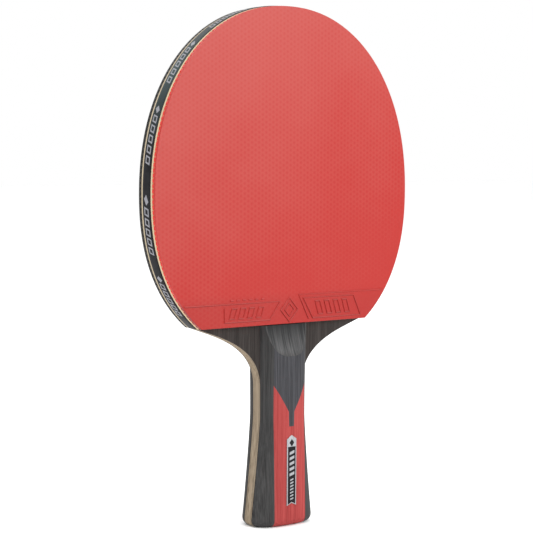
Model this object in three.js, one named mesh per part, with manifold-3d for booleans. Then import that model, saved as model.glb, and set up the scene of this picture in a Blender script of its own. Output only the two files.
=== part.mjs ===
// A table tennis bat: a seven-layer blade with a flared grip, one inverted rubber glued to each
// side and a tape around the edge of the head.
//
// Millimetres. The bat stands on the butt of its grip: +Z runs from the butt to the top of the
// head, the red playing side faces -Y, and the origin is the middle of the butt.

import * as THREE from 'three';
import { mergeVertices } from 'three/addons/utils/BufferGeometryUtils.js';
import Module from 'manifold-3d';

const wasm = await Module();
wasm.setup();

// Head: two half superellipses that meet at the widest line.
const HEAD_HALF_WIDTH = 75;
const HEAD_WIDEST_Z = 160.9;
const HEAD_RISE = 88.5;
const HEAD_DROP = 78.3;
const HEAD_ROUNDNESS_ABOVE = 2.13;
const HEAD_ROUNDNESS_BELOW = 2.26;
const HEAD_STEPS = 84;
const RUBBER_BOTTOM_Z = 97.9;

// Neck: one curve on each side, from the waist of the grip out to the corner of the head.
const NECK_START_Z = 67.8;
const NECK_PULL_Z = 89.7;
const NECK_PULL_HEAD = [39.2, 93.9];
const NECK_STEPS = 16;

// Blade layers, as the distance of each face from the middle of the blade.
const CORE_FACE = 1.8;
const CARBON_FACE = 2.0;
const INNER_FACE = 2.75;
const BLADE_FACE = 3.2;

// Rubber: sponge, then the pimples of the topsheet, then its smooth playing face.
const SPONGE_FACE = 4.9;
const PIMPLE_ROOT_FACE = 5.9;
const PLAYING_FACE = 6.75;
const PIMPLE_RADIUS = 0.8;
const PIMPLE_SIDES = 6;
const PIMPLE_PITCH = 2.4;
const PIMPLE_INSET = 0.9;
const PIMPLE_ROOT_DEPTH = 0.3;

const TAPE_THICKNESS = 0.35;

// Grip: a superellipse in section, flared from the waist down to the butt.
const GRIP_TOP_Z = 97.5;
const GRIP_WAIST_Z = 53.5;
const GRIP_WAIST_HALF_WIDTH = 12.63;
const BUTT_FLARE = 5.45;
const BUTT_FLARE_POWER = 1.2;
const TOP_FLARE = 0.9;
const GRIP_HALF_DEPTH = 11.5;
const GRIP_ROUNDNESS = 2.66;
const BUTT_ROUNDING = 3.9;
const BUTT_ROUNDING_STEPS = 4;
const GRIP_STEP = 7;
const SURFACE_STEPS = 6;

// Strips of the grip, all seen from the front: the middle zone, and the arrow inlaid in it.
const ZONE_HALF_WIDTH = 9.23;
const ARROW_TOP_Z = 68.8;
const ARROW_NECK_Z = 55.9;
const ARROW_END_Z = 48.7;
const ARROW_NECK_HALF_WIDTH = 1.68;
const ARROW_END_HALF_WIDTH = 1.45;
const SPINE_BUTT_HALF_WIDTH = 2.4;

// Thumb scoop: a shallow hollow ground across the top of each grip half.
const SCOOP_RADIUS = 56;
const SCOOP_START = { depth: GRIP_HALF_DEPTH, z: 81.9 };
const SCOOP_END = { depth: 6.6, z: GRIP_TOP_Z };
const SCOOP_SIDES = 180;

// Badge: a metal ribbon with a pointed top and a forked tail, on the front of the grip.
const BADGE_HALF_WIDTH = 2.83;
const BADGE_TIP_Z = 44.5;
const BADGE_SHOULDER_Z = 42.6;
const BADGE_TAIL_Z = 10.2;
const BADGE_FORK_Z = 11.4;
const BADGE_THICKNESS = 0.3;
const PANEL_MARGIN = 0.6;
const PANEL_TOP_Z = 38.9;
const PANEL_THICKNESS = 0.12;
const LOZENGE_Z = 40.8;
const LOZENGE_HALF_HEIGHT = 1.5;
const LOZENGE_HALF_WIDTH = 1.1;

const FRONT = -1;
const BACK = 1;

const colours = {
  paleWood: { color: 0xb3a48b, roughness: 0.75 },
  carbon: { color: 0x2a2a2c, roughness: 0.5 },
  darkVeneer: { color: 0x47423c, roughness: 0.65 },
  darkWood: { color: 0x47484b, roughness: 0.6 },
  redWood: { color: 0xc3524f, roughness: 0.6 },
  redRubber: { color: 0xd75f5c, roughness: 0.45 },
  blackRubber: { color: 0x32312c, roughness: 0.5 },
  sponge: { color: 0xd6b499, roughness: 0.95 },
  tape: { color: 0x333437, roughness: 0.35 },
  silver: { color: 0xb8bbbe, roughness: 0.3, metalness: 0.9 },
  enamel: { color: 0x2c2d30, roughness: 0.35 },
};

const bat = new THREE.Group();

function addPiece(name, geometry, look) {
  const piece = new THREE.Mesh(geometry, new THREE.MeshStandardMaterial(look));
  piece.name = name;
  bat.add(piece);
}

// Welds shared corners, drops triangles that have shrunk to a line, and turns the faces outward.
function closeSurface(geometry) {
  const bare = geometry.clone();
  bare.deleteAttribute('normal');
  bare.deleteAttribute('uv');
  const welded = mergeVertices(bare, 1e-5);
  const corner = welded.index.array;
  const kept = [];
  for (let i = 0; i < corner.length; i += 3) {
    const [a, b, c] = corner.slice(i, i + 3);
    if (a !== b && b !== c && c !== a) {
      kept.push(a, b, c);
    }
  }
  welded.setIndex(kept);
  if (signedVolume(welded) < 0) {
    for (let i = 0; i < kept.length; i += 3) {
      [kept[i + 1], kept[i + 2]] = [kept[i + 2], kept[i + 1]];
    }
    welded.setIndex(kept);
  }
  return welded;
}

function signedVolume(geometry) {
  const position = geometry.attributes.position;
  const index = geometry.index.array;
  const a = new THREE.Vector3();
  const b = new THREE.Vector3();
  const c = new THREE.Vector3();
  let sum = 0;
  for (let i = 0; i < index.length; i += 3) {
    a.fromBufferAttribute(position, index[i]);
    b.fromBufferAttribute(position, index[i + 1]);
    c.fromBufferAttribute(position, index[i + 2]);
    sum += a.dot(b.cross(c));
  }
  return sum / 6;
}

function toSolid(geometry) {
  const closed = closeSurface(geometry);
  return new wasm.Manifold(new wasm.Mesh({
    numProp: 3,
    vertProperties: new Float32Array(closed.attributes.position.array),
    triVerts: new Uint32Array(closed.index.array),
  }));
}

function fromSolid(solid) {
  const mesh = solid.getMesh();
  const geometry = new THREE.BufferGeometry();
  geometry.setAttribute('position', new THREE.BufferAttribute(mesh.vertProperties, 3));
  geometry.setIndex(new THREE.BufferAttribute(mesh.triVerts, 1));
  return geometry;
}

// A flat plate whose outline is drawn in X and Z, between two distances from the blade's middle.
function plate(outline, fromY, toY) {
  const geometry = new THREE.ExtrudeGeometry(new THREE.Shape(outline), {
    depth: 1,
    bevelEnabled: false,
  });
  const position = geometry.attributes.position;
  for (let i = 0; i < position.count; i += 1) {
    const y = position.getZ(i) < 0.5 ? fromY : toY;
    position.setXYZ(i, position.getX(i), y, position.getY(i));
  }
  return closeSurface(geometry);
}

// A solid skinned over rings of points that all have the same number of corners.
function loft(rings) {
  const size = rings[0].length;
  const points = rings.flat();
  const faces = [];
  for (let r = 0; r + 1 < rings.length; r += 1) {
    for (let i = 0; i < size; i += 1) {
      const a = r * size + i;
      const b = r * size + ((i + 1) % size);
      faces.push(a, b, b + size, a, b + size, a + size);
    }
  }
  const last = (rings.length - 1) * size;
  for (let i = 1; i + 1 < size; i += 1) {
    faces.push(0, i + 1, i);
    faces.push(last, last + i, last + i + 1);
  }
  const geometry = new THREE.BufferGeometry().setFromPoints(points);
  geometry.setIndex(faces);
  return closeSurface(geometry);
}

// ---------------------------------------------------------------- outlines of the blade

const turn = (base, power) => Math.sign(base) * Math.abs(base) ** power;

// The head's edge, from its right lower corner over the top to its left lower corner.
function headEdge(grow = 0) {
  const rise = HEAD_RISE + grow;
  const drop = HEAD_DROP + grow;
  const fall = (HEAD_WIDEST_Z - RUBBER_BOTTOM_Z) / drop;
  const startAngle = Math.asin(fall ** (HEAD_ROUNDNESS_BELOW / 2));
  const points = [];
  for (let i = 0; i <= HEAD_STEPS; i += 1) {
    const angle = -startAngle + (i / HEAD_STEPS) * (Math.PI + 2 * startAngle);
    const below = Math.sin(angle) < 0;
    const reach = below ? drop : rise;
    const power = 2 / (below ? HEAD_ROUNDNESS_BELOW : HEAD_ROUNDNESS_ABOVE);
    const x = (HEAD_HALF_WIDTH + grow) * turn(Math.cos(angle), power);
    const z = HEAD_WIDEST_Z + reach * turn(Math.sin(angle), power);
    points.push(new THREE.Vector2(x, z));
  }
  return points;
}

function buttInset(z) {
  const below = Math.max(0, BUTT_ROUNDING - z);
  return BUTT_ROUNDING - Math.sqrt(BUTT_ROUNDING ** 2 - below ** 2);
}

function gripHalfWidth(z) {
  const flare = z < GRIP_WAIST_Z
    ? BUTT_FLARE * (1 - z / GRIP_WAIST_Z) ** BUTT_FLARE_POWER
    : TOP_FLARE * ((z - GRIP_WAIST_Z) / (GRIP_TOP_Z - GRIP_WAIST_Z)) ** 2;
  return GRIP_WAIST_HALF_WIDTH + flare - buttInset(z);
}

// How far the grip's rounded surface stands from the blade's middle, at x and at height z.
function gripDepth(x, z) {
  const share = Math.min(1, Math.abs(x) / gripHalfWidth(z)) ** GRIP_ROUNDNESS;
  return (GRIP_HALF_DEPTH - buttInset(z)) * (1 - share) ** (1 / GRIP_ROUNDNESS);
}

// How wide the grip is where it meets the blade: the tang is sanded flush with this.
function gripSeamX(z) {
  const share = (BLADE_FACE / (GRIP_HALF_DEPTH - buttInset(z))) ** GRIP_ROUNDNESS;
  return gripHalfWidth(z) * (1 - share) ** (1 / GRIP_ROUNDNESS);
}

function heightSteps(fromZ, toZ) {
  const heights = [fromZ];
  if (fromZ === 0) {
    for (let i = 1; i <= BUTT_ROUNDING_STEPS; i += 1) {
      const angle = (i / BUTT_ROUNDING_STEPS) * (Math.PI / 2);
      heights.push(BUTT_ROUNDING * (1 - Math.cos(angle)));
    }
  }
  const start = heights[heights.length - 1];
  const count = Math.ceil((toZ - start) / GRIP_STEP);
  for (let i = 1; i <= count; i += 1) {
    heights.push(start + ((toZ - start) * i) / count);
  }
  return heights;
}

// The grip's heights are shared by every strip and by the tang, so that their walls match.
const TANG_HEIGHTS = heightSteps(0, NECK_START_Z);

function bladeOutline() {
  const head = headEdge();
  const corner = head[0];
  const neck = new THREE.CubicBezierCurve(
    new THREE.Vector2(gripSeamX(NECK_START_Z), NECK_START_Z),
    new THREE.Vector2(gripSeamX(NECK_START_Z), NECK_PULL_Z),
    new THREE.Vector2(...NECK_PULL_HEAD),
    corner,
  ).getPoints(NECK_STEPS);
  const tang = TANG_HEIGHTS.slice(0, -1).map((z) => new THREE.Vector2(gripSeamX(z), z));
  const right = [...tang, ...neck.slice(0, -1)];
  const left = right.map((point) => new THREE.Vector2(-point.x, point.y)).reverse();
  return [...right, ...head, ...left];
}

// ---------------------------------------------------------------- blade

function addBlade() {
  const outline = bladeOutline();
  addPiece('core_ply', plate(outline, -CORE_FACE, CORE_FACE), colours.paleWood);
  for (const [side, place] of [[FRONT, 'front'], [BACK, 'back']]) {
    const carbon = plate(outline, side * CORE_FACE, side * CARBON_FACE);
    const inner = plate(outline, side * CARBON_FACE, side * INNER_FACE);
    const outer = plate(outline, side * INNER_FACE, side * BLADE_FACE);
    addPiece(`carbon_ply_${place}`, carbon, colours.carbon);
    addPiece(`inner_ply_${place}`, inner, colours.paleWood);
    addPiece(`outer_veneer_${place}`, outer, colours.darkVeneer);
  }
}

// ---------------------------------------------------------------- rubbers

function pimpleCentres() {
  const row = new THREE.Shape(headEdge(-PIMPLE_INSET).filter(
    (point) => point.y > RUBBER_BOTTOM_Z + PIMPLE_INSET,
  ));
  const first = row.getPoints()[0];
  row.lineTo(-first.x, RUBBER_BOTTOM_Z + PIMPLE_INSET);
  row.lineTo(first.x, RUBBER_BOTTOM_Z + PIMPLE_INSET);
  row.closePath();
  const count = Math.round(row.getLength() / PIMPLE_PITCH);
  return row.getSpacedPoints(count).slice(0, -1);
}

// The outermost row of pimples, the one that shows at the trimmed edge, is part of the sheet.
function topsheet(side) {
  const sheet = plate(headEdge(), side * PIMPLE_ROOT_FACE, side * PLAYING_FACE);
  const height = PIMPLE_ROOT_FACE - SPONGE_FACE + PIMPLE_ROOT_DEPTH;
  const middle = SPONGE_FACE + height / 2;
  const pimples = pimpleCentres().map((centre) => {
    const pimple = new THREE.CylinderGeometry(
      PIMPLE_RADIUS, PIMPLE_RADIUS, height, PIMPLE_SIDES,
    );
    return toSolid(pimple.translate(centre.x, side * middle, centre.y));
  });
  return fromSolid(pimples.reduce((sum, pimple) => sum.add(pimple), toSolid(sheet)));
}

function addRubbers() {
  for (const [side, place, look] of [
    [FRONT, 'front', colours.redRubber],
    [BACK, 'back', colours.blackRubber],
  ]) {
    const sponge = plate(headEdge(), side * BLADE_FACE, side * SPONGE_FACE);
    addPiece(`${place}_sponge`, sponge, colours.sponge);
    addPiece(`${place}_topsheet`, topsheet(side), look);
  }
}

// ---------------------------------------------------------------- edge tape

function addEdgeTape() {
  const outline = [...headEdge(TAPE_THICKNESS), ...headEdge().reverse()];
  addPiece('edge_tape', plate(outline, -BLADE_FACE, BLADE_FACE), colours.tape);
}

// ---------------------------------------------------------------- grip

// Half the width of the dark arrow, and below its end that of the red strip under it.
function arrowHalfWidth(z) {
  const corners = [
    [0, SPINE_BUTT_HALF_WIDTH],
    [ARROW_END_Z, ARROW_END_HALF_WIDTH],
    [ARROW_NECK_Z, ARROW_NECK_HALF_WIDTH],
    [ARROW_TOP_Z, ZONE_HALF_WIDTH],
    [GRIP_TOP_Z, ZONE_HALF_WIDTH],
  ];
  const next = Math.max(1, corners.findIndex(([height]) => height >= z));
  const [lowZ, lowX] = corners[next - 1];
  const [highZ, highX] = corners[next];
  return lowX + ((highX - lowX) * (z - lowZ)) / (highZ - lowZ);
}

const STRIP_HEIGHTS = [
  ...heightSteps(0, ARROW_END_Z),
  ...heightSteps(ARROW_END_Z, ARROW_NECK_Z).slice(1),
  ...heightSteps(ARROW_NECK_Z, ARROW_TOP_Z).slice(1),
  ...heightSteps(ARROW_TOP_Z, GRIP_TOP_Z).slice(1),
];

// One lengthwise strip of the front half of the grip, between two edges given by height.
function gripStrip(edgeFrom, edgeTo, fromZ, toZ) {
  const heights = STRIP_HEIGHTS.filter((z) => z >= fromZ && z <= toZ);
  return loft(heights.map((z) => {
    const start = edgeFrom(z);
    const end = edgeTo(z);
    const ring = [
      new THREE.Vector3(end, -BLADE_FACE, z),
      new THREE.Vector3(start, -BLADE_FACE, z),
    ];
    for (let i = 0; i <= SURFACE_STEPS; i += 1) {
      const share = i / SURFACE_STEPS;
      const x = start + (end - start) * share;
      ring.push(new THREE.Vector3(x, -gripDepth(x, z), z));
    }
    return ring;
  }));
}

// The side strip: its surface turns down to the seam, so its points close up towards it.
function gripFlank() {
  return loft(STRIP_HEIGHTS.map((z) => {
    const seam = gripSeamX(z);
    const ring = [new THREE.Vector3(ZONE_HALF_WIDTH, -BLADE_FACE, z)];
    const seamTurn = Math.acos((seam / gripHalfWidth(z)) ** (GRIP_ROUNDNESS / 2));
    const zoneTurn = Math.acos((ZONE_HALF_WIDTH / gripHalfWidth(z)) ** (GRIP_ROUNDNESS / 2));
    for (let i = 0; i <= SURFACE_STEPS; i += 1) {
      const angle = zoneTurn + ((seamTurn - zoneTurn) * i) / SURFACE_STEPS;
      const x = gripHalfWidth(z) * Math.cos(angle) ** (2 / GRIP_ROUNDNESS);
      ring.push(new THREE.Vector3(x, -gripDepth(x, z), z));
    }
    ring[1].x = ZONE_HALF_WIDTH;
    ring[ring.length - 1].set(seam, -BLADE_FACE, z);
    return ring;
  }));
}

// The drum that grinds the thumb scoop, lying across the grip.
function scoopDrum() {
  const chordDepth = SCOOP_START.depth - SCOOP_END.depth;
  const chordZ = SCOOP_END.z - SCOOP_START.z;
  const chord = Math.hypot(chordDepth, chordZ);
  const reach = Math.sqrt(SCOOP_RADIUS ** 2 - (chord / 2) ** 2) / chord;
  const y = -(SCOOP_START.depth + SCOOP_END.depth) / 2 - reach * chordZ;
  const z = (SCOOP_START.z + SCOOP_END.z) / 2 + reach * chordDepth;
  const drum = new THREE.CylinderGeometry(
    SCOOP_RADIUS, SCOOP_RADIUS, 4 * ZONE_HALF_WIDTH, SCOOP_SIDES,
  );
  return toSolid(drum.rotateZ(Math.PI / 2).translate(0, y, z));
}

function mirrored(geometry, x, y) {
  return closeSurface(geometry.clone().scale(x, y, 1));
}

function addGrip() {
  const drum = scoopDrum();
  const scooped = (geometry) => fromSolid(toSolid(geometry).subtract(drum));
  const flank = scooped(gripFlank());
  const arrowLeft = (z) => -arrowHalfWidth(z);
  const arrow = scooped(gripStrip(arrowLeft, arrowHalfWidth, ARROW_END_Z, GRIP_TOP_Z));
  const spine = gripStrip(arrowLeft, arrowHalfWidth, 0, ARROW_END_Z);
  const wing = gripStrip(arrowHalfWidth, () => ZONE_HALF_WIDTH, 0, ARROW_TOP_Z);

  for (const [side, place] of [[-FRONT, 'front'], [-BACK, 'back']]) {
    addPiece(`grip_flank_left_${place}`, mirrored(flank, -1, side), colours.darkWood);
    addPiece(`grip_flank_right_${place}`, mirrored(flank, 1, side), colours.darkWood);
    addPiece(`grip_wing_left_${place}`, mirrored(wing, -1, side), colours.redWood);
    addPiece(`grip_wing_right_${place}`, mirrored(wing, 1, side), colours.redWood);
    addPiece(`grip_arrow_${place}`, mirrored(arrow, 1, side), colours.darkWood);
    addPiece(`grip_spine_${place}`, mirrored(spine, 1, side), colours.redWood);
  }
}

// ---------------------------------------------------------------- badge

function ribbon(halfWidth, tipZ, shoulderZ, forkZ, tailZ) {
  return [
    [-halfWidth, tailZ],
    [0, forkZ],
    [halfWidth, tailZ],
    [halfWidth, shoulderZ],
    [0, tipZ],
    [-halfWidth, shoulderZ],
  ].map(([x, z]) => new THREE.Vector2(x, z));
}

function addBadge() {
  const back = -GRIP_HALF_DEPTH;
  const face = back - BADGE_THICKNESS;
  const raised = face - PANEL_THICKNESS;
  const rim = ribbon(BADGE_HALF_WIDTH, BADGE_TIP_Z, BADGE_SHOULDER_Z, BADGE_FORK_Z, BADGE_TAIL_Z);
  addPiece('badge_plate', plate(rim, back, face), colours.silver);

  const field = ribbon(
    BADGE_HALF_WIDTH - PANEL_MARGIN,
    PANEL_TOP_Z,
    PANEL_TOP_Z,
    BADGE_FORK_Z + PANEL_MARGIN,
    BADGE_TAIL_Z + PANEL_MARGIN,
  ).filter((point) => point.x !== 0 || point.y !== PANEL_TOP_Z);
  addPiece('badge_panel', plate(field, face, raised), colours.enamel);

  const lozenge = [
    [LOZENGE_HALF_WIDTH, LOZENGE_Z],
    [0, LOZENGE_Z + LOZENGE_HALF_HEIGHT],
    [-LOZENGE_HALF_WIDTH, LOZENGE_Z],
    [0, LOZENGE_Z - LOZENGE_HALF_HEIGHT],
  ].map(([x, z]) => new THREE.Vector2(x, z));
  addPiece('badge_lozenge', plate(lozenge, face, raised), colours.enamel);
}

addBlade();
addRubbers();
addEdgeTape();
addGrip();
addBadge();

export default bat;
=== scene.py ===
import math

import bmesh
import bpy
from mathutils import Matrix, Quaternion, Vector


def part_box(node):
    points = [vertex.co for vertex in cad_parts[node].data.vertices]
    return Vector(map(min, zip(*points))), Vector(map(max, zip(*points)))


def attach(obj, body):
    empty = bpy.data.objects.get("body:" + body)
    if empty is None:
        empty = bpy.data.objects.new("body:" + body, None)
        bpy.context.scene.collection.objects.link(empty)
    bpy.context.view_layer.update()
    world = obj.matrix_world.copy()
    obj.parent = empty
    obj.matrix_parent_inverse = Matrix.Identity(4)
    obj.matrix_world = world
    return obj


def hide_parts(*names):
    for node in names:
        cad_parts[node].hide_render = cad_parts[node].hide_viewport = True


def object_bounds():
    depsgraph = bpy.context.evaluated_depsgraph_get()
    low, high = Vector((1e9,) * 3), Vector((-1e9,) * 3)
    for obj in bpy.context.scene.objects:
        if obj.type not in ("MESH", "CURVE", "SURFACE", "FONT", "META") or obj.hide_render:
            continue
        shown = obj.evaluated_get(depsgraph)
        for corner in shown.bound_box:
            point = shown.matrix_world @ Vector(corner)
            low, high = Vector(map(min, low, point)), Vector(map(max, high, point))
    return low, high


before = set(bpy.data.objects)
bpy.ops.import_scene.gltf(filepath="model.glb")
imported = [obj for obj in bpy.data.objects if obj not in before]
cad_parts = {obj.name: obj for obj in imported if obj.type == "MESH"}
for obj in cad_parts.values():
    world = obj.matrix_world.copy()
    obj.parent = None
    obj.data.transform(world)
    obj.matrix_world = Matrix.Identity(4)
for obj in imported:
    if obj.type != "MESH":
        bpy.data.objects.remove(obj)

cad_box = [list(corner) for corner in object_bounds()]

# ---------------------------------------------------------------- blade
# Seven layers, glued flat and cut to one outline: a pale core, a sheet of carbon fibre and a pale
# ply on each side of it, and a veneer dyed brownish black outside. The tang runs down the grip.

MM = 0.001
FRONT, BACK = -1, 1
HEAD_CENTRE_Z = 160.9 * MM
HEAD_HALF_WIDTH = 75 * MM
HEAD_RISE = 88.5 * MM
HEAD_DROP = 78.3 * MM
HEAD_ROUNDNESS_ABOVE = 2.13
HEAD_ROUNDNESS_BELOW = 2.26
RUBBER_BOTTOM_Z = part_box("front_sponge")[0][2]
BLADE_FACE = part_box("outer_veneer_back")[1][1]

GRIP_TOP_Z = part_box("grip_arrow_front")[1][2]
GRIP_WAIST_Z = 53.5 * MM
GRIP_WAIST_HALF_WIDTH = 12.63 * MM
GRIP_HALF_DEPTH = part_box("grip_spine_back")[1][1]
GRIP_ROUNDNESS = 2.66
BUTT_FLARE = 5.45 * MM
TOP_FLARE = 0.9 * MM
BUTT_ROUNDING = 3.9 * MM
NECK_START_Z = 67.8 * MM
NECK_PULL_Z = 88.4 * MM
NECK_PULL_HEAD = (37.8 * MM, 93.2 * MM)


def signed_power(base, power):
    return math.copysign(abs(base) ** power, base)


def head_roundness(z):
    return HEAD_ROUNDNESS_BELOW if z < HEAD_CENTRE_Z else HEAD_ROUNDNESS_ABOVE


def head_edge(grow=0.0, steps=260):
    """The head's edge, from its right lower corner over the top to its left lower corner."""
    rise, drop = HEAD_RISE + grow, HEAD_DROP + grow
    fall = (HEAD_CENTRE_Z - RUBBER_BOTTOM_Z) / drop
    start = math.asin(fall ** (HEAD_ROUNDNESS_BELOW / 2))
    points = []
    for i in range(steps + 1):
        angle = -start + i / steps * (math.pi + 2 * start)
        reach, roundness = rise, HEAD_ROUNDNESS_ABOVE
        if math.sin(angle) < 0:
            reach, roundness = drop, HEAD_ROUNDNESS_BELOW
        x = (HEAD_HALF_WIDTH + grow) * signed_power(math.cos(angle), 2 / roundness)
        z = HEAD_CENTRE_Z + reach * signed_power(math.sin(angle), 2 / roundness)
        points.append((x, z))
    return points


def butt_inset(z):
    below = max(0.0, BUTT_ROUNDING - z)
    return BUTT_ROUNDING - math.sqrt(BUTT_ROUNDING ** 2 - below ** 2)


def grip_half_width(z):
    if z < GRIP_WAIST_Z:
        flare = BUTT_FLARE * (1 - z / GRIP_WAIST_Z) ** 1.2
    else:
        flare = TOP_FLARE * ((z - GRIP_WAIST_Z) / (GRIP_TOP_Z - GRIP_WAIST_Z)) ** 2
    return GRIP_WAIST_HALF_WIDTH + flare - butt_inset(z)


def grip_depth(x, z):
    """How far the grip's rounded surface stands from the blade's middle."""
    share = min(1.0, abs(x) / grip_half_width(z)) ** GRIP_ROUNDNESS
    return (GRIP_HALF_DEPTH - butt_inset(z)) * (1 - share) ** (1 / GRIP_ROUNDNESS)


def grip_seam(z):
    """Half the width of the grip where it meets the blade."""
    share = (BLADE_FACE / (GRIP_HALF_DEPTH - butt_inset(z))) ** GRIP_ROUNDNESS
    return grip_half_width(z) * (1 - share) ** (1 / GRIP_ROUNDNESS)


def heights(low, high, step=1.5 * MM):
    """Heights up the grip, close together where the butt is rounded."""
    found = []
    if low < BUTT_ROUNDING:
        found = [BUTT_ROUNDING * (1 - math.cos(i / 10 * math.pi / 2)) for i in range(10)]
        low = BUTT_ROUNDING
    count = max(1, round((high - low) / step))
    return found + [low + (high - low) * i / count for i in range(count + 1)]


def blade_outline():
    head = head_edge()
    seam = grip_seam(NECK_START_Z)
    bends = [(seam, NECK_START_Z), (seam, NECK_PULL_Z), NECK_PULL_HEAD, head[0]]
    right = [(grip_seam(z), z) for z in heights(0.0, NECK_START_Z, 3 * MM)]
    for i in range(1, 48):
        t = i / 48
        weights = ((1 - t) ** 3, 3 * t * (1 - t) ** 2, 3 * t * t * (1 - t), t ** 3)
        right.append(tuple(sum(w * bend[k] for w, bend in zip(weights, bends)) for k in (0, 1)))
    return right + head + [(-x, z) for x, z in reversed(right)]


def start_edit(piece):
    bpy.ops.object.select_all(action="DESELECT")
    piece.select_set(True)
    bpy.context.view_layer.objects.active = piece
    bpy.ops.object.mode_set(mode="EDIT")


def end_edit():
    bpy.ops.mesh.select_all(action="SELECT")
    bpy.ops.mesh.normals_make_consistent(inside=False)
    bpy.ops.object.mode_set(mode="OBJECT")


def cut_plate(name, outline, from_y, to_y):
    """Lays an outline out in X and Z, fills it and draws it through from one Y to the other."""
    bpy.ops.object.select_all(action="DESELECT")
    bpy.ops.mesh.primitive_circle_add(vertices=len(outline), fill_type="NGON")
    piece = bpy.context.active_object
    piece.name = piece.data.name = name
    for vertex, (x, z) in zip(piece.data.vertices, outline):
        vertex.co = (x, from_y, z)
    start_edit(piece)
    bpy.ops.mesh.select_all(action="SELECT")
    bpy.ops.mesh.extrude_region_move(TRANSFORM_OT_translate={"value": (0, to_y - from_y, 0)})
    end_edit()
    return piece


def round_rim(piece, at_y, width, segments=3):
    """Rounds the edge that runs round the plate's face at one Y."""
    start_edit(piece)
    bpy.ops.mesh.select_all(action="DESELECT")
    bpy.ops.mesh.select_mode(type="EDGE")
    mesh = bmesh.from_edit_mesh(piece.data)
    for edge in mesh.edges:
        on_face = all(abs(vertex.co.y - at_y) < 1e-6 for vertex in edge.verts)
        edge.select_set(on_face and edge.calc_face_angle(0) > math.radians(60))
    bmesh.update_edit_mesh(piece.data)
    bpy.ops.mesh.bevel(offset=width, segments=segments, affect="EDGES")
    end_edit()


def finish_piece(piece, material, nodes=(), angle=30):
    bpy.ops.object.select_all(action="DESELECT")
    piece.select_set(True)
    bpy.context.view_layer.objects.active = piece
    bpy.ops.object.shade_smooth_by_angle(angle=math.radians(angle))
    if not piece.data.materials:
        piece.data.materials.append(material)
    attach(piece, "root")
    if nodes:
        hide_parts(*nodes)


class Finish:
    """A material under construction: a Principled shader and the nodes that feed it."""

    def __init__(self, name, roughness, **constants):
        self.material = bpy.data.materials.new(name)
        self.material.use_nodes = True
        self.tree = self.material.node_tree
        self.shader = self.tree.nodes["Principled BSDF"]
        self.shader.inputs["Roughness"].default_value = roughness
        for socket, value in constants.items():
            self.shader.inputs[socket.replace("_", " ")].default_value = value
        self.places = self.tree.nodes.new("ShaderNodeTexCoord")

    def add(self, kind, values=None, **settings):
        node = self.tree.nodes.new(kind)
        for key, value in settings.items():
            setattr(node, key, value)
        for socket, value in (values or {}).items():
            if isinstance(value, bpy.types.NodeSocket):
                self.tree.links.new(value, node.inputs[socket])
            else:
                node.inputs[socket].default_value = value
        return node

    def stretched(self, scale, shift=(0, 0, 0)):
        """Object coordinates stretched along an axis, as a grain is."""
        return self.add("ShaderNodeMapping", {
            "Vector": self.places.outputs["Object"], "Scale": scale, "Location": shift,
        }).outputs["Vector"]

    def noise(self, vector, scale, detail=4.0, roughness=0.55):
        return self.add("ShaderNodeTexNoise", {
            "Vector": vector, "Scale": scale, "Detail": detail, "Roughness": roughness,
        }).outputs["Fac"]

    def math(self, operation, first, second=0.0, third=0.0, clamp=False):
        node = self.add("ShaderNodeMath", {0: first, 1: second, 2: third}, operation=operation)
        node.use_clamp = clamp
        return node.outputs["Value"]

    def ramp(self, value, *stops):
        node = self.add("ShaderNodeValToRGB", {"Fac": value})
        band = node.color_ramp
        band.elements[0].position, band.elements[0].color = stops[0][0], (*stops[0][1], 1)
        band.elements[1].position, band.elements[1].color = stops[-1][0], (*stops[-1][1], 1)
        for position, colour in stops[1:-1]:
            band.elements.new(position).color = (*colour, 1)
        return node.outputs["Color"]

    def blend(self, amount, first, second, mode="MIX"):
        node = self.add("ShaderNodeMix", {"Factor": amount}, data_type="RGBA", blend_type=mode)
        for socket, value in zip((6, 7), (first, second)):
            if isinstance(value, bpy.types.NodeSocket):
                self.tree.links.new(value, node.inputs[socket])
            else:
                node.inputs[socket].default_value = (*value, 1)
        return node.outputs[2]

    def colour(self, socket):
        self.tree.links.new(socket, self.shader.inputs["Base Color"])

    def rough(self, socket):
        self.tree.links.new(socket, self.shader.inputs["Roughness"])

    def bump(self, height, distance, strength=1.0):
        node = self.add("ShaderNodeBump", {
            "Height": height, "Distance": distance, "Strength": strength,
        })
        self.tree.links.new(node.outputs["Normal"], self.shader.inputs["Normal"])


def grain_tone(finish, shift, grain, streak, through=1.0):
    """From 0 in a dark fibre to 1 in a light one, with broad slow bands under the fibres."""
    fibres = finish.noise(finish.stretched((1, through, 0.012), shift), grain, 6.0, 0.7)
    bands = finish.noise(finish.stretched((1, through, 0.04), shift), grain * 0.22, 2.0)
    tone = finish.math("ADD", finish.math("MULTIPLY", fibres, 1 - streak),
                       finish.math("MULTIPLY", bands, streak))
    return fibres, tone


def wood(name, dark, light, shift, roughness=0.5, grain=900, streak=0.3, gloss=0.1,
         through=1.0, seam=None):
    """Straight-grained wood: long fibres up the bat, fine pores, and broad slow bands."""
    finish = Finish(name, roughness, Specular_IOR_Level=gloss, IOR=1.2)
    fibres, tone = grain_tone(finish, shift, grain, streak, through)
    pores = finish.noise(finish.stretched((1, through, 0.022), shift), grain * 2.0, 3.0, 0.75)
    grained = finish.blend(0.42, finish.ramp(tone, (0.38, dark), (0.62, light)),
                           finish.ramp(pores, (0.40, dark), (0.60, light)))
    if seam:
        grained = finish.blend(glued_seam(finish, *seam), grained,
                               tuple(0.35 * c for c in dark))
    finish.colour(grained)
    finish.rough(finish.math("MULTIPLY_ADD", fibres, 0.25, roughness - 0.12))
    finish.bump(finish.math("MULTIPLY_ADD", pores, 0.5, fibres), 0.08 * MM, 0.6)
    return finish.material


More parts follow.
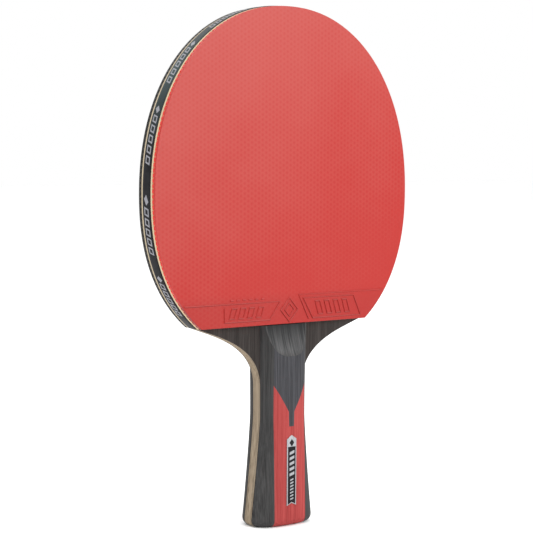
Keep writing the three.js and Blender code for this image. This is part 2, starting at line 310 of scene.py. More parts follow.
def glued_seam(finish, butt_half_width, end_half_width, end_z, line):
    """The dark glue between two strips, which close in from the butt to where they end."""
    place = finish.add("ShaderNodeSeparateXYZ",
                       {"Vector": finish.places.outputs["Object"]}).outputs
    seam_x = finish.math("MULTIPLY_ADD", place["Z"],
                         (end_half_width - butt_half_width) / end_z, butt_half_width)
    off = finish.math("ABSOLUTE", finish.math(
        "SUBTRACT", finish.math("ABSOLUTE", place["X"]), seam_x))
    near = finish.math("SUBTRACT", 1.0, finish.math("DIVIDE", off, line), clamp=True)
    below = finish.math("LESS_THAN", place["Z"], end_z)
    return finish.math("MULTIPLY", finish.math("MULTIPLY", near, below), 0.6)


def carbon_fibre():
    finish = Finish("carbon_fibre", 0.5, Specular_IOR_Level=0.25)
    strands = finish.noise(finish.stretched((1, 1, 0.4)), 1500, 3.0)
    finish.colour(finish.ramp(strands, (0.35, (0.060, 0.050, 0.038)), (0.7, (0.14, 0.12, 0.09))))
    finish.bump(strands, 0.02 * MM, 0.4)
    return finish.material


pale_core = wood("pale_core", (0.17, 0.128, 0.086), (0.385, 0.312, 0.228), (0.2, 0, 0), 0.62, 800)
pale_ply = wood("pale_ply", (0.16, 0.12, 0.08), (0.34, 0.275, 0.20), (0.7, 0, 0), 0.62, 900)
dyed_veneer = wood("dyed_veneer", (0.021, 0.018, 0.017), (0.056, 0.049, 0.046), (1.3, 0, 0),
                   0.5, 1100)
carbon = carbon_fibre()

for node, slot, material in (
    ("core_ply", "pale_wood", pale_core),
    ("carbon_ply_front", "carbon", carbon),
    ("carbon_ply_back", "carbon", carbon),
    ("inner_ply_front", "pale_wood", pale_ply),
    ("inner_ply_back", "pale_wood", pale_ply),
    ("outer_veneer_front", "dark_veneer", dyed_veneer),
    ("outer_veneer_back", "dark_veneer", dyed_veneer),
):
    low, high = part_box(node)
    layer = cut_plate(node.replace("_ply", "_layer").replace("_veneer", "_skin"),
                      blade_outline(), low[1], high[1])
    if slot == "dark_veneer":
        round_rim(layer, FRONT * BLADE_FACE if low[1] < 0 else BACK * BLADE_FACE, 0.18 * MM)
    finish_piece(layer, material, [node])

# ---------------------------------------------------------------- sponges
# Foamed rubber, peach under the red sheet and greyer under the black one. Each is glued to the
# blade and trimmed flush with its edge, so the cut cells show all round.


def foam(name, dark, light):
    finish = Finish(name, 0.9)
    cells = finish.add("ShaderNodeTexVoronoi", {
        "Vector": finish.places.outputs["Object"], "Scale": 3200.0,
    }).outputs["Distance"]
    cloud = finish.noise(finish.places.outputs["Object"], 260, 3.0)
    finish.colour(finish.ramp(
        finish.math("ADD", finish.math("MULTIPLY", cells, 0.5),
                    finish.math("MULTIPLY", cloud, 0.6)),
        (0.25, dark), (0.75, light)))
    finish.bump(cells, 0.06 * MM, 0.6)
    return finish.material


SPONGE_FACE = 4.45 * MM

for node, side, dark, light in (
    ("front_sponge", FRONT, (0.50, 0.38, 0.235), (0.68, 0.54, 0.35)),
    ("back_sponge", BACK, (0.40, 0.325, 0.22), (0.54, 0.45, 0.31)),
):
    sponge = cut_plate(f"{node}_foam", head_edge(), side * BLADE_FACE, side * SPONGE_FACE)
    finish_piece(sponge, foam(f"{node}_foam", dark, light), [node])

# ---------------------------------------------------------------- topsheets
# Smooth rubber sheets whose pimples are moulded on the inner side and glued to the sponge, with
# glue squeezed up between them: only the rows cut through at the edge show. A raised label strip
# crosses the sheet above its hem.

PIMPLE_PITCH = 2.4 * MM
PIMPLE_SIDES = 10
PIMPLE_RADIUS = 0.8 * MM
SHEET_THICKNESS = 0.95 * MM
PLAYING_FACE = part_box("back_topsheet")[1][1]
LABEL_RIDGE = 0.38 * MM
LABEL_HEIGHT = 0.95
LABEL_TOP_Z = 114 * MM
LABEL_FADE = 6 * MM
# How much lighter than its base colour the sheet's side wall is painted.
WALL_LIGHTENING = 1.25
# The next two numbers tilt a painted sheen: the sheets are painted paler towards -X and upwards.
PAINTED_SHEEN_ACROSS = -1.7
PAINTED_SHEEN_UP = 3.4
PIMPLE_ROW_INSETS = ((0.5 * MM, 0.0), (2.1 * MM, 0.5), (4.0 * MM, 0.0))
GLUE_INSETS = {FRONT: 0.38 * MM, BACK: 0.1 * MM}
GLUE_OVERLAP = 0.05 * MM


def edge_share(x, z, grow=0.0):
    """How far out a point lies: 1 on the head's outline, more outside it."""
    reach = (HEAD_DROP if z < HEAD_CENTRE_Z else HEAD_RISE) + grow
    roundness = head_roundness(z)
    total = (abs(x) / (HEAD_HALF_WIDTH + grow)) ** roundness + (
        abs(z - HEAD_CENTRE_Z) / reach) ** roundness
    return total ** (1 / roundness)


def pull_inside(vertex, grow):
    """Moves a point that lies outside the head's outline straight in to it."""
    share = edge_share(vertex.co.x, vertex.co.z, grow)
    if share > 1:
        vertex.co.x /= share
        vertex.co.z = HEAD_CENTRE_Z + (vertex.co.z - HEAD_CENTRE_Z) / share


def pimple_row(inset, first_share):
    """Evenly spaced places along the sheet's edge and its straight hem, at one inset."""
    edge = [(x, z) for x, z in head_edge(-inset) if z > RUBBER_BOTTOM_Z + inset]
    loop = edge + [(-edge[0][0], RUBBER_BOTTOM_Z + inset), (edge[0][0], RUBBER_BOTTOM_Z + inset)]
    legs = [math.dist(a, b) for a, b in zip(loop, loop[1:] + loop[:1])]
    count = round(sum(legs) / PIMPLE_PITCH)
    places, leg, walked = [], 0, 0.0
    for i in range(count):
        target = (i + first_share) * sum(legs) / count
        while walked + legs[leg] < target:
            walked += legs[leg]
            leg += 1
        share = (target - walked) / legs[leg]
        (x, z), (next_x, next_z) = loop[leg], loop[(leg + 1) % len(loop)]
        places.append((x + (next_x - x) * share, z + (next_z - z) * share))
    return places


def pimple_bed(name, side):
    """Three rows of cones along the trimmed edge: behind them the sheet hides the rest."""
    tip, root = SPONGE_FACE, PLAYING_FACE - SHEET_THICKNESS + 0.05 * MM
    bpy.ops.object.select_all(action="DESELECT")
    bpy.ops.mesh.primitive_cone_add(
        vertices=PIMPLE_SIDES, radius1=PIMPLE_RADIUS, radius2=PIMPLE_RADIUS * 1.08,
        depth=root - tip, location=(0, side * (root + tip) / 2, 0),
        rotation=(-side * math.pi / 2, 0, 0))
    bed = bpy.context.active_object
    bed.name = bed.data.name = name
    bpy.ops.object.transform_apply(location=True, rotation=True, scale=True)
    places = []
    for inset, first_share in PIMPLE_ROW_INSETS:
        places += pimple_row(inset, first_share)
    array = bed.modifiers.new("rows", "ARRAY")
    array.count = len(places)
    array.use_relative_offset = False
    array.use_constant_offset = True
    array.constant_offset_displace = (0, 0, 0)
    bpy.ops.object.modifier_apply(modifier=array.name)
    corners = 2 * PIMPLE_SIDES
    for i, (x, z) in enumerate(places):
        for vertex in bed.data.vertices[i * corners:(i + 1) * corners]:
            vertex.co.x += x
            vertex.co.z += z
            pull_inside(vertex, -0.02 * MM)
            vertex.co.z = max(vertex.co.z, RUBBER_BOTTOM_Z + 0.02 * MM)
    return bed


def label_lines():
    """The raised lines of the label strip, in millimetres seen from the playing side."""
    lines = [
        ([(-59.0, 108.9), (-3.9, 108.9), (-9.9, 100.3), (-36.3, 100.3), (-36.3, 107.1)], False),
        ([(59.6, 111.7), (7.4, 111.7), (13.6, 99.7)], False),
        ([(10.2, 109.9), (41.6, 109.9), (46.2, 99.9), (16.2, 99.9)], True),
    ]
    for size in (1.12, 0.6):
        lines.append(([(1.8 + size * x, 104.6 + size * z)
                       for x, z in ((0, -5.2), (4.6, 0), (0, 5.2), (-4.6, 0))], True))
    for i in range(6):
        lines.append(([(-33 + 3.6 * i, 110.6), (-31.2 + 3.6 * i, 110.6)], False))
    for start, count, step, low, high, lean in (
        (-33.6, 4, 5.2, 101.9, 106.7, 1.6), (19.6, 4, 5.6, 101.7, 108.1, -2.0),
    ):
        for i in range(count):
            x = start + i * step
            lines.append(([(x, low), (x + 2.9, low), (x + 2.9 + lean, high), (x + lean, high)],
                          True))
    return lines


def raise_label(sheet, side):
    """Rounded ridges half sunk in the playing face, joined into the sheet."""
    curve = bpy.data.curves.new("label", "CURVE")
    curve.dimensions = "3D"
    curve.bevel_depth = LABEL_RIDGE
    curve.bevel_resolution = 2
    curve.use_fill_caps = True
    face = side * max(abs(vertex.co.y) for vertex in sheet.data.vertices)
    for points, closed in label_lines():
        line = curve.splines.new("POLY")
        line.points.add(len(points) - 1)
        for point, (x, z) in zip(line.points, points):
            point.co = (-side * x * MM, face, z * MM, 1)
        line.use_cyclic_u = closed
    ridges = bpy.data.objects.new("label", curve)
    bpy.context.collection.objects.link(ridges)
    bpy.ops.object.select_all(action="DESELECT")
    ridges.select_set(True)
    bpy.context.view_layer.objects.active = ridges
    bpy.ops.object.convert(target="MESH")
    for vertex in ridges.data.vertices:
        vertex.co.y = face + (vertex.co.y - face) * LABEL_HEIGHT
    sheet.select_set(True)
    bpy.context.view_layer.objects.active = sheet
    bpy.ops.object.join()


def sheet_rubber(name, base, painted_sheen_tint, gloss, roughness):
    """Smooth rubber: the pimples print through, the gloss is uneven, a painted sheen pales it, and
    the label carries painted highlight and shade.
    """
    finish = Finish(name, roughness, Specular_IOR_Level=gloss)
    place = finish.add("ShaderNodeSeparateXYZ",
                       {"Vector": finish.places.outputs["Object"]}).outputs
    wave = 4 * math.pi / (math.sqrt(3) * PIMPLE_PITCH)
    prints = None
    for across, up in ((1, 0), (-0.5, math.sqrt(3) / 2), (-0.5, -math.sqrt(3) / 2)):
        phase = finish.math("ADD", finish.math("MULTIPLY", place["X"], wave * across),
                            finish.math("MULTIPLY", place["Z"], wave * up))
        crest = finish.math("COSINE", phase)
        prints = crest if prints is None else finish.math("ADD", prints, crest)
    dots = finish.math("MULTIPLY_ADD", prints, 1 / 4.5, 1 / 3, clamp=True)
    cloud = finish.noise(finish.places.outputs["Object"], 22, 3.0)
    dust = finish.noise(finish.places.outputs["Object"], 1400, 2.0, 0.7)
    # Painted sheen: the colour runs from the base to the paler tint towards -X and upwards.
    painted_sheen_slope = finish.math("MULTIPLY_ADD", place["X"], PAINTED_SHEEN_ACROSS, finish.math(
        "MULTIPLY", finish.math("SUBTRACT", place["Z"], HEAD_CENTRE_Z), PAINTED_SHEEN_UP))
    tone = finish.math("MULTIPLY_ADD", cloud, 0.5, finish.math("MULTIPLY", dots, -0.2))
    sheet_colour = finish.ramp(finish.math("ADD", tone, painted_sheen_slope), (0.0, base), (0.6, painted_sheen_tint))
    facing = finish.add("ShaderNodeSeparateXYZ", {
        "Vector": finish.add("ShaderNodeNewGeometry").outputs["Normal"],
    }).outputs
    facing_up = facing["Z"]
    on_label = finish.math("DIVIDE", finish.math("SUBTRACT", LABEL_TOP_Z, place["Z"]),
                           LABEL_FADE, clamp=True)
    # Painted highlight: on the label, faces turned upwards are painted paler.
    painted_highlight_amount = finish.math("MULTIPLY", on_label, finish.math(
        "MULTIPLY", facing_up, 1.6, clamp=True))
    # Painted shade: the label strip is painted a little darker, and its faces turned downwards much
    # darker.
    shade = finish.math("MULTIPLY", on_label, finish.math(
        "MULTIPLY_ADD", facing_up, -2.0, 0.2, clamp=True))
    painted_highlight_colour = finish.blend(finish.math("MULTIPLY", painted_highlight_amount, 0.28), sheet_colour,
                         tuple(0.85 * c + 0.09 for c in painted_sheen_tint))
    shaded = finish.blend(shade, painted_highlight_colour, tuple(0.55 * c for c in base))
    # Above the label the sheet's side wall is painted lighter, 1.25 times the base colour.
    cut_edge = finish.math("MULTIPLY", finish.math("SUBTRACT", 1.0, on_label), finish.math(
        "SUBTRACT", 1.0, finish.math("ABSOLUTE", facing["Y"])))
    finish.colour(finish.blend(cut_edge, shaded, tuple(WALL_LIGHTENING * c for c in base)))
    finish.rough(finish.math("ADD", finish.math("MULTIPLY", cloud, 0.16),
                             finish.math("MULTIPLY_ADD", dust, 0.10, roughness - 0.13)))
    finish.bump(finish.math("ADD", dots, finish.math("MULTIPLY", dust, 0.35)), 0.03 * MM, 0.4)
    return finish.material


# In each, the second colour is the paler end of the painted sheen.
red_sheet = sheet_rubber("red_sheet", (0.340, 0.008, 0.004), (0.368, 0.049, 0.039), 0.35, 0.44)
black_sheet = sheet_rubber("black_sheet", (0.011, 0.0105, 0.009), (0.020, 0.019, 0.0165), 0.25, 0.44)
red_pimple = sheet_rubber("red_pimple", (0.50, 0.014, 0.008), (0.55, 0.021, 0.012), 0.3, 0.5)


def squeezed_glue(name, dark, light):
    finish = Finish(name, 0.7, Specular_IOR_Level=0.2)
    lumps = finish.noise(finish.places.outputs["Object"], 900, 3.0)
    finish.colour(finish.ramp(lumps, (0.35, dark), (0.65, light)))
    finish.bump(lumps, 0.1 * MM, 0.6)
    return finish.material


red_glue = squeezed_glue("red_glue", (0.72, 0.10, 0.052), (0.84, 0.19, 0.10))
black_glue = squeezed_glue("black_glue", (0.010, 0.010, 0.009), (0.022, 0.021, 0.019))

for side, node, slot, material, pimple_material, glue in (
    (FRONT, "front_topsheet", "red_rubber", red_sheet, red_pimple, red_glue),
    (BACK, "back_topsheet", "black_rubber", black_sheet, black_sheet, black_glue),
):
    face = side * PLAYING_FACE
    sheet = cut_plate(node.replace("top", "playing_"), head_edge(),
                      face - side * SHEET_THICKNESS, face)
    round_rim(sheet, face, 0.12 * MM, 3)
    raise_label(sheet, side)
    finish_piece(sheet, material, [node], 13)
    bed = pimple_bed(node.replace("topsheet", "pimples"), side)
    finish_piece(bed, pimple_material)
    glue_line = cut_plate(node.replace("topsheet", "glue_line"), head_edge(-GLUE_INSETS[side]),
                          side * (SPONGE_FACE - GLUE_OVERLAP),
                          face - side * (SHEET_THICKNESS - GLUE_OVERLAP))
    finish_piece(glue_line, glue)

# ---------------------------------------------------------------- edge tape
# A glossy printed tape, as wide as the blade is thick, wound once round the edge of the head and
# pressed flat. Its ends stop at the corners where the neck begins.

TAPE_THICKNESS = 0.35 * MM
TAPE_ROWS = 12
TAPE_COLUMNS = 260
TAPE_LENGTH = 396
PRINT_HEIGHT = 6.4
PRINT_REPEAT = 36.0
PRINT_CELL = 4.3
PRINT_LEAN = 0.3
BOX_HALF = (1.6, 1.75)
HOLE_HALF = (0.95, 1.0)
LOZENGE_HALF = 1.8
PRINT_END = 25.8
PLAIN_END_SHARE = 0.986
# The next two numbers place a painted greenish sheen along the tape.
PAINTED_TAPE_SHEEN_SHARE = 0.68
PAINTED_TAPE_SHEEN_SPREAD = 0.1


def printed_tape():
    """A plain repeated print along the tape: a solid lozenge, then five slanted hollow boxes. One
    stretch of its black ground is painted a greenish sheen.
    """
    finish = Finish("printed_tape", 0.3, IOR=1.12)
    along_across = finish.add("ShaderNodeSeparateXYZ",
                              {"Vector": finish.places.outputs["UV"]}).outputs
    along = finish.math("MULTIPLY", along_across["X"], TAPE_LENGTH)
    across = finish.math("MULTIPLY_ADD", along_across["Y"], PRINT_HEIGHT, -PRINT_HEIGHT / 2)
    away = finish.math("ABSOLUTE", across)
    leaning = finish.math("MULTIPLY_ADD", across, PRINT_LEAN, along)
    turn = finish.math("MULTIPLY", finish.math(
        "FRACT", finish.math("DIVIDE", leaning, PRINT_REPEAT)), PRINT_REPEAT)
    cell = finish.math("ABSOLUTE", finish.math(
        "SUBTRACT", finish.math("MULTIPLY", finish.math(
            "FRACT", finish.math("DIVIDE", turn, PRINT_CELL)), PRINT_CELL), PRINT_CELL / 2))

    def inside(value, limit):
        return finish.math("LESS_THAN", value, limit)

    def both(first, second):
        return finish.math("MULTIPLY", first, second)

    box = both(inside(cell, BOX_HALF[0]), inside(away, BOX_HALF[1]))
    hole = both(inside(cell, HOLE_HALF[0]), inside(away, HOLE_HALF[1]))
    boxes = both(both(box, finish.math("SUBTRACT", 1.0, hole)),
                 both(inside(turn, PRINT_END),
                      finish.math("GREATER_THAN", turn, PRINT_CELL)))
    lozenge = both(inside(finish.math("ADD", cell, away), LOZENGE_HALF),
                   inside(turn, PRINT_CELL))
    ink = both(finish.math("MAXIMUM", boxes, lozenge),
               inside(along_across["X"], PLAIN_END_SHARE))
    scuff = finish.noise(finish.places.outputs["Object"], 180, 4.0, 0.7)
    plain = finish.ramp(scuff, (0.3, (0.010, 0.010, 0.011)), (0.75, (0.024, 0.0245, 0.027)))
    # Painted reflection: round one stretch along the tape the ground is painted a paler greenish
    # grey.
    painted_sheen_amount = finish.math("SUBTRACT", 1.0, finish.math("DIVIDE", finish.math(
        "ABSOLUTE", finish.math("SUBTRACT", along_across["X"], PAINTED_TAPE_SHEEN_SHARE)),
        PAINTED_TAPE_SHEEN_SPREAD), clamp=True)
    ground = finish.blend(painted_sheen_amount, plain, (0.040, 0.060, 0.062))
    finish.colour(finish.blend(finish.math("MULTIPLY", ink, 0.85), ground, (0.32, 0.32, 0.35)))
    finish.rough(finish.math("MULTIPLY_ADD", scuff, 0.22, 0.2))
    finish.bump(scuff, 0.02 * MM, 0.3)
    return finish.material


bpy.ops.object.select_all(action="DESELECT")
bpy.ops.mesh.primitive_grid_add(x_subdivisions=TAPE_COLUMNS, y_subdivisions=TAPE_ROWS, size=1)
tape = bpy.context.active_object
tape.name = tape.data.name = "edge_tape_wrap"
tape_inner = head_edge(0.0, TAPE_COLUMNS)
tape_outer = head_edge(TAPE_THICKNESS, TAPE_COLUMNS)
for vertex in tape.data.vertices:
    column = round((vertex.co.x + 0.5) * TAPE_COLUMNS)
    across = 2 * vertex.co.y
    crown = 0.55 + 0.45 * (1 - abs(across) ** 6)
    x, z = (start + (end - start) * crown
            for start, end in zip(tape_inner[column], tape_outer[column]))
    vertex.co = (x, across * BLADE_FACE, z)
start_edit(tape)
bpy.ops.mesh.select_all(action="SELECT")
bpy.ops.mesh.extrude_region_move()
bpy.ops.object.mode_set(mode="OBJECT")
for vertex in tape.data.vertices:
    if vertex.select:
        pull_inside(vertex, 0.02 * MM)
start_edit(tape)
end_edit()
finish_piece(tape, printed_tape(), ["edge_tape"], 40)

# ---------------------------------------------------------------- grip
# Two halves glued to the tang and sanded flush with it, each built from lengthwise strips of dyed
# wood: dark sides, red wings and spine, and a dark arrow whose head fills the top of the grip.

ZONE_HALF_WIDTH = 9.23 * MM
ARROW_TOP_Z = 68.8 * MM
ARROW_NECK_Z = 55.9 * MM
ARROW_END_Z = 48.7 * MM
ARROW_CORNERS = (
    (0.0, 2.4 * MM), (ARROW_END_Z, 1.45 * MM), (ARROW_NECK_Z, 1.68 * MM),
    (ARROW_TOP_Z, ZONE_HALF_WIDTH), (1.0, ZONE_HALF_WIDTH),
)
STRIP_COLUMNS = 20
SCOOP_RADIUS = 56 * MM
SCOOP_START = (GRIP_HALF_DEPTH, 82.6 * MM)
SCOOP_END = (6.6 * MM, GRIP_TOP_Z)
GRIP_HALF_WIDTH_AT_SCOOP = 13.2 * MM
SANDED_DEPTH = 0.9 * MM
# How far below the grip's top the painted shadow on the scoop's floor reaches.
SHADED_BELOW_TOP = 12 * MM


def arrow_half_width(z):
    """Half the width of the dark arrow, and below its end of the red spine under it."""
    for (low_z, low_x), (high_z, high_x) in zip(ARROW_CORNERS, ARROW_CORNERS[1:]):
        if z <= high_z:
            return low_x + (high_x - low_x) * (z - low_z) / (high_z - low_z)


def strip_heights(low, high):
    stations = [low] + [z for z, _ in ARROW_CORNERS if low < z < high] + [high]
    found = [low]
    for start, end in zip(stations, stations[1:]):
        found += heights(start, end)[1:]
    return found


def grip_strip(name, side, low, high, across):
    """A grid laid on the grip's surface, then drawn back to the blade's face."""
    levels = strip_heights(low, high)
    rows = len(levels) - 1
    bpy.ops.object.select_all(action="DESELECT")
    bpy.ops.mesh.primitive_grid_add(x_subdivisions=STRIP_COLUMNS, y_subdivisions=rows, size=1)
    strip = bpy.context.active_object
    strip.name = strip.data.name = name
    for vertex in strip.data.vertices:
        z = levels[round((vertex.co.y + 0.5) * rows)]
        x = across(vertex.co.x + 0.5, z)
        depth = max(BLADE_FACE, grip_depth(x, z))
        vertex.co = (x, side * depth, z)
    start_edit(strip)
    bpy.ops.mesh.select_all(action="SELECT")
    bpy.ops.mesh.extrude_region_move()
    bpy.ops.object.mode_set(mode="OBJECT")
    for vertex in strip.data.vertices:
        if vertex.select:
            vertex.co.y = side * BLADE_FACE
    start_edit(strip)
    bpy.ops.mesh.select_all(action="SELECT")
    bpy.ops.mesh.remove_doubles(threshold=1e-6)
    end_edit()
    return strip


def flank_across(hand):
    """The side strips close up their columns towards the seam, where the surface turns in."""
    def place(share, z):
        half = grip_half_width(z)
        near = math.acos((ZONE_HALF_WIDTH / half) ** (GRIP_ROUNDNESS / 2))
        far = math.acos((grip_seam(z) / half) ** (GRIP_ROUNDNESS / 2))
        angle = near + (far - near) * share
        return hand * half * math.cos(angle) ** (2 / GRIP_ROUNDNESS)
    return place


def wing_across(hand):
    def place(share, z):
        inner = arrow_half_width(z)
        return hand * (inner + (ZONE_HALF_WIDTH - inner) * share)
    return place


def middle_across(share, z):
    return arrow_half_width(z) * (2 * share - 1)


def scoop(strip, side, sanded):
    """Grinds the hollow for the thumb across the top, with a drum lying across the grip."""
    depth = SCOOP_START[0] - SCOOP_END[0]
    rise = SCOOP_END[1] - SCOOP_START[1]
    chord = math.hypot(depth, rise)
    reach = math.sqrt(SCOOP_RADIUS ** 2 - (chord / 2) ** 2) / chord
    y = side * ((SCOOP_START[0] + SCOOP_END[0]) / 2 + reach * rise)
    z = (SCOOP_START[1] + SCOOP_END[1]) / 2 + reach * depth
    bpy.ops.object.select_all(action="DESELECT")
    bpy.ops.mesh.primitive_cylinder_add(vertices=480, radius=SCOOP_RADIUS, depth=0.06,
                                        location=(0, y, z), rotation=(0, math.pi / 2, 0))
    drum = bpy.context.active_object
    drum.data.materials.append(sanded)
    strip.data.materials.append(strip_materials[strip.name])
    bpy.context.view_layer.objects.active = strip
    cut = strip.modifiers.new("scoop", "BOOLEAN")
    cut.operation = "DIFFERENCE"
    cut.solver = "EXACT"
    cut.material_mode = "TRANSFER"
    cut.object = drum
    bpy.ops.object.modifier_apply(modifier=cut.name)
    bpy.data.objects.remove(drum)


def sanded_wood():
    """The raw floor of the scoop: paler streaks that fade out where it runs into the surface, and a
    painted shadow near the top of the grip.
    """
    finish = Finish("sanded_wood", 0.6, Specular_IOR_Level=0.16)
    place = finish.add("ShaderNodeSeparateXYZ",
                       {"Vector": finish.places.outputs["Object"]}).outputs
    fibres, tone = grain_tone(finish, (2.2, 0, 0), 1300, 0.2, 0.1)
    across = finish.math("DIVIDE", finish.math("ABSOLUTE", place["X"]),
                         GRIP_HALF_WIDTH_AT_SCOOP)
    surface = finish.math("POWER", finish.math(
        "SUBTRACT", 1.0, finish.math("POWER", across, GRIP_ROUNDNESS)), 1 / GRIP_ROUNDNESS)
    depth = finish.math("SUBTRACT", finish.math("MULTIPLY", surface, GRIP_HALF_DEPTH),
                        finish.math("ABSOLUTE", place["Y"]))
    sanded = finish.math("DIVIDE", depth, SANDED_DEPTH, clamp=True)
    # Painted shadow under the rubber's edge: the floor is painted darker over the last 12 mm below
    # the top of the grip.
    raised = finish.math("DIVIDE", finish.math("SUBTRACT", GRIP_TOP_Z, place["Z"]),
                         SHADED_BELOW_TOP, clamp=True)
    streaks = finish.ramp(tone, (0.38, (0.024, 0.025, 0.026)), (0.64, (0.098, 0.098, 0.099)))
    shaded = finish.blend(raised, (0.22, 0.22, 0.22), (1.0, 1.0, 1.0))
    streaked_and_shadowed = finish.blend(1.0, streaks, shaded, "MULTIPLY")
    finish.colour(finish.blend(sanded, finish.ramp(tone, (0.38, DARK_WOOD[0]),
                                                   (0.62, DARK_WOOD[1])), streaked_and_shadowed))
    finish.bump(fibres, 0.08 * MM, 0.6)
    return finish.material


DARK_WOOD = ((0.031, 0.0307, 0.0307), (0.069, 0.068, 0.068))
ARROW_WOOD = ((0.030, 0.0303, 0.033), (0.072, 0.072, 0.079))
RED_WOOD = ((0.255, 0.036, 0.035), (0.395, 0.072, 0.068))
SPINE_SEAM = (ARROW_CORNERS[0][1], ARROW_CORNERS[1][1], ARROW_END_Z, 0.22 * MM)
scoop_floor = sanded_wood()
strip_materials = {}

for side, place in ((FRONT, "front"), (BACK, "back")):
    for name, low, high, across, slot, colours, node in (
        ("flank_left", 0.0, GRIP_TOP_Z, flank_across(-1), "dark_wood", DARK_WOOD,
         "grip_flank_left"),
        ("flank_right", 0.0, GRIP_TOP_Z, flank_across(1), "dark_wood", DARK_WOOD,
         "grip_flank_right"),
        ("wing_left", 0.0, ARROW_TOP_Z, wing_across(-1), "red_wood", RED_WOOD,
         "grip_wing_left"),
        ("wing_right", 0.0, ARROW_TOP_Z, wing_across(1), "red_wood", RED_WOOD,
         "grip_wing_right"),
        ("arrow", ARROW_END_Z, GRIP_TOP_Z, middle_across, "arrow_wood", ARROW_WOOD,
         "grip_arrow"),
        ("spine", 0.0, ARROW_END_Z, middle_across, "red_wood", RED_WOOD, "grip_spine"),
    ):
        strip = grip_strip(f"{name}_strip_{place}", side, low, high, across)
        strip_materials[strip.name] = wood(
            f"{name}_wood_{place}", *colours, (0.37 * len(strip_materials), 0, 0), 0.5, 1200,
            0.12, through=0.7, seam=SPINE_SEAM if slot == "red_wood" else None)
        if high == GRIP_TOP_Z:
            scoop(strip, side, scoop_floor)
        finish_piece(strip, strip_materials[strip.name], [f"{node}_{place}"], 13)

# ---------------------------------------------------------------- badge
# A thin metal ribbon glued to the front of the grip, with a pointed top and a forked tail. Its
# field is black enamel with plain raised bars, and a lozenge sits in the cell above.


def brushed_metal():
    finish = Finish("brushed_metal", 0.3, Metallic=1.0)
    brush = finish.noise(finish.stretched((1, 1, 0.04)), 5200, 3.0, 0.7)
    finish.colour(finish.ramp(brush, (0.3, (0.28, 0.29, 0.305)), (0.7, (0.42, 0.43, 0.445))))
    finish.rough(finish.math("MULTIPLY_ADD", brush, 0.25, 0.24))
    finish.bump(brush, 0.01 * MM, 0.3)
    return finish.material


def black_enamel():
    finish = Finish("black_enamel", 0.22, Specular_IOR_Level=0.12)
    cloud = finish.noise(finish.places.outputs["Object"], 700, 3.0)
    finish.colour(finish.ramp(cloud, (0.3, (0.005, 0.005, 0.006)), (0.7, (0.011, 0.011, 0.013))))
    finish.bump(cloud, 0.01 * MM, 0.2)
    return finish.material


TAIL_NOTCH = 1.2 * MM
TIP_HEIGHT = 1.9 * MM
MARK_GROWTH = (1.25, 1.2)
BAR_HEIGHT = 0.05 * MM
metal, enamel = brushed_metal(), black_enamel()
plate_low, plate_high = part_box("badge_plate")
panel_low, panel_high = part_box("badge_panel")
half_width = plate_high[0]
plate_outline = [(-half_width, plate_low[2]), (0, plate_low[2] + TAIL_NOTCH),
                 (half_width, plate_low[2]), (half_width, plate_high[2] - TIP_HEIGHT),
                 (0, plate_high[2]), (-half_width, plate_high[2] - TIP_HEIGHT)]
badge = cut_plate("badge_ribbon", plate_outline, plate_high[1], plate_low[1])
round_rim(badge, plate_low[1], 0.12 * MM)
finish_piece(badge, metal, ["badge_plate"])

half_width = panel_high[0]
panel_outline = [(-half_width, panel_low[2]), (0, panel_low[2] + TAIL_NOTCH),
                 (half_width, panel_low[2]), (half_width, panel_high[2]),
                 (-half_width, panel_high[2])]
panel = cut_plate("badge_field", panel_outline, panel_high[1], panel_low[1])
round_rim(panel, panel_low[1], 0.04 * MM)
finish_piece(panel, enamel, ["badge_panel"])

low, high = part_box("badge_lozenge")
middle_z = (low[2] + high[2]) / 2
mark_width, mark_height = MARK_GROWTH[0] * high[0], MARK_GROWTH[1] * (high[2] - middle_z)
lozenge = cut_plate("badge_mark", [(mark_width, middle_z), (0, middle_z + mark_height),
                                   (-mark_width, middle_z), (0, middle_z - mark_height)],
                    high[1], low[1])
round_rim(lozenge, low[1], 0.04 * MM)
finish_piece(lozenge, enamel, ["badge_lozenge"])

bars = []
for i in range(5):
    bars.append((36.7 - 2.6 * i, 1.4, 1.35, 0.45))
for i in range(7):
    bars.append((23.2 - 1.55 * i, 0.95, 0.7, 0.28))
for i, (z, half, tall, lean) in enumerate(bars):
    corners = [(-half, z - lean), (half, z + lean), (half, z + lean - tall),
               (-half, z - lean - tall)]
    bar = cut_plate(f"badge_bar_{i}", [(x * MM, z * MM) for x, z in corners],
                    panel_low[1], panel_low[1] - BAR_HEIGHT)
    finish_piece(bar, metal)

# ---------------------------------------------------------------- studio
# A wide pale floor, an even white surround, and soft lamps that lay a broad sheen on the red side.


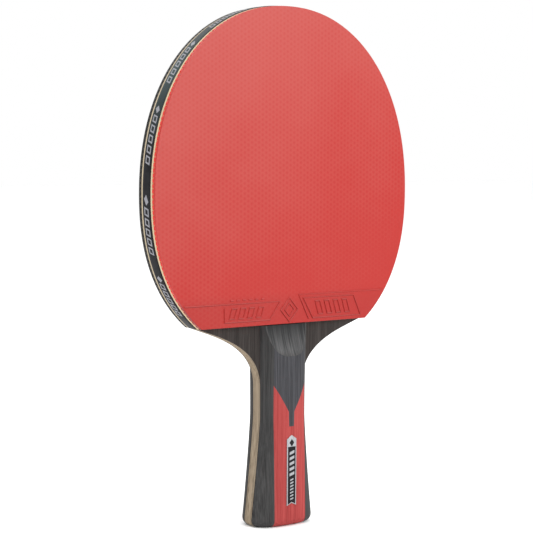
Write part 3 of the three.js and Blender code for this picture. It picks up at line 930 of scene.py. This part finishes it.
def area_lamp(name, place, aim, size, power):
    lamp = bpy.data.lights.new(name, "AREA")
    lamp.shape = "RECTANGLE"
    lamp.size, lamp.size_y = size
    lamp.energy = power
    thing = bpy.data.objects.new(name, lamp)
    bpy.context.collection.objects.link(thing)
    thing.location = place
    thing.rotation_euler = (Vector(aim) - Vector(place)).to_track_quat("-Z", "Y").to_euler()


world = bpy.data.worlds.new("studio")
bpy.context.scene.world = world
world.use_nodes = True
world.node_tree.nodes["Background"].inputs["Color"].default_value = (1, 1, 1, 1)
world.node_tree.nodes["Background"].inputs["Strength"].default_value = 1.0

bpy.ops.mesh.primitive_plane_add(size=12, location=(0, 0, cad_box[0][2]))
floor = bpy.context.active_object
floor.name = floor.data.name = "floor"
floor_paint = Finish("floor_paint", 0.9)
floor_paint.shader.inputs["Base Color"].default_value = (1, 1, 1, 1)
floor.data.materials.append(floor_paint.material)

area_lamp("overhead", (0, 0, 2.2), (0, 0, 0), (3, 3), 26)
area_lamp("key", (0.45, -1.0, 0.65), (0, 0, 0.16), (0.6, 0.6), 8)
area_lamp("behind", (-0.1, 1.2, 1.2), (0, 0, 0.16), (1.0, 1.0), 3)

# ---------------------------------------------------------------- camera

CAMERA_AZIMUTH = math.radians(-36.6)
CAMERA_ELEVATION = math.radians(4.15)
CAMERA_ROLL = math.radians(0.28)
CAMERA_DISTANCE = 0.800
CAMERA_AIM = Vector((-6.95 * MM, 0, 125.34 * MM))
CAMERA_LENS = 112.4

camera_data = bpy.data.cameras.new("camera")
camera_data.lens = CAMERA_LENS
camera_data.sensor_width = 36
camera_data.clip_start = 0.01
camera_data.clip_end = 100
camera = bpy.data.objects.new("camera", camera_data)
bpy.context.collection.objects.link(camera)
back = Vector((math.sin(CAMERA_AZIMUTH) * math.cos(CAMERA_ELEVATION),
               -math.cos(CAMERA_AZIMUTH) * math.cos(CAMERA_ELEVATION),
               math.sin(CAMERA_ELEVATION)))
camera.location = CAMERA_AIM + back * CAMERA_DISTANCE
camera.rotation_mode = "QUATERNION"
facing = (-back).to_track_quat("-Z", "Y")
camera.rotation_quaternion = facing @ Quaternion((0, 0, 1), CAMERA_ROLL)
bpy.context.scene.camera = camera
bpy.context.scene.view_settings.view_transform = "Standard"
